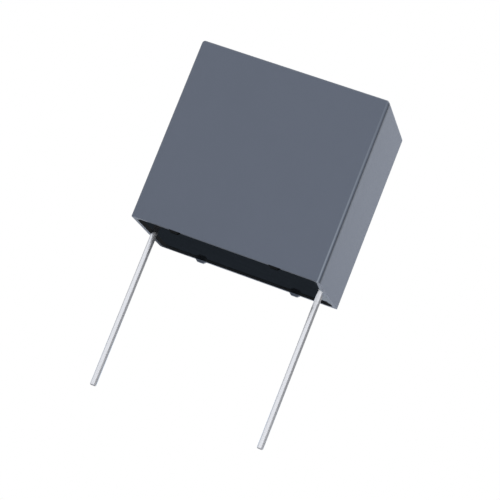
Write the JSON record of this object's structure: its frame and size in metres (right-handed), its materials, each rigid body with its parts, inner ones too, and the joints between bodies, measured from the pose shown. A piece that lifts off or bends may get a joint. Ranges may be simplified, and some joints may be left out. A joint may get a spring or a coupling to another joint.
{
  "type": "polyester capacitor",
  "caption": "Box-shaped polyester film capacitor in a moulded plastic case potted with resin, with straight wire leads for a printed board.",
  "frame": {"origin": "on the board's surface, midway between the two leads", "axes": "+X along the lead pitch, +Z out of the board through the case, -Y towards the broad front face"},
  "size_m": [0.0302, 0.0204, 0.0537],
  "materials": {
    "case_plastic": "fine moulded texture",
    "potting": "poured and cured, glossy",
    "film": "metallised film, wound",
    "sprayed_metal": "rough, metal sprayed",
    "tinned_wire": "hot tinned, bright"
  },
  "bodies": {
    "root": {"case": "case_plastic", "potting_resin": "potting", "film_roll": "film", "end_spray_left": "sprayed_metal", "end_spray_right": "sprayed_metal", "lead_left": "tinned_wire", "lead_right": "tinned_wire"}
  },
  "joints": []
}
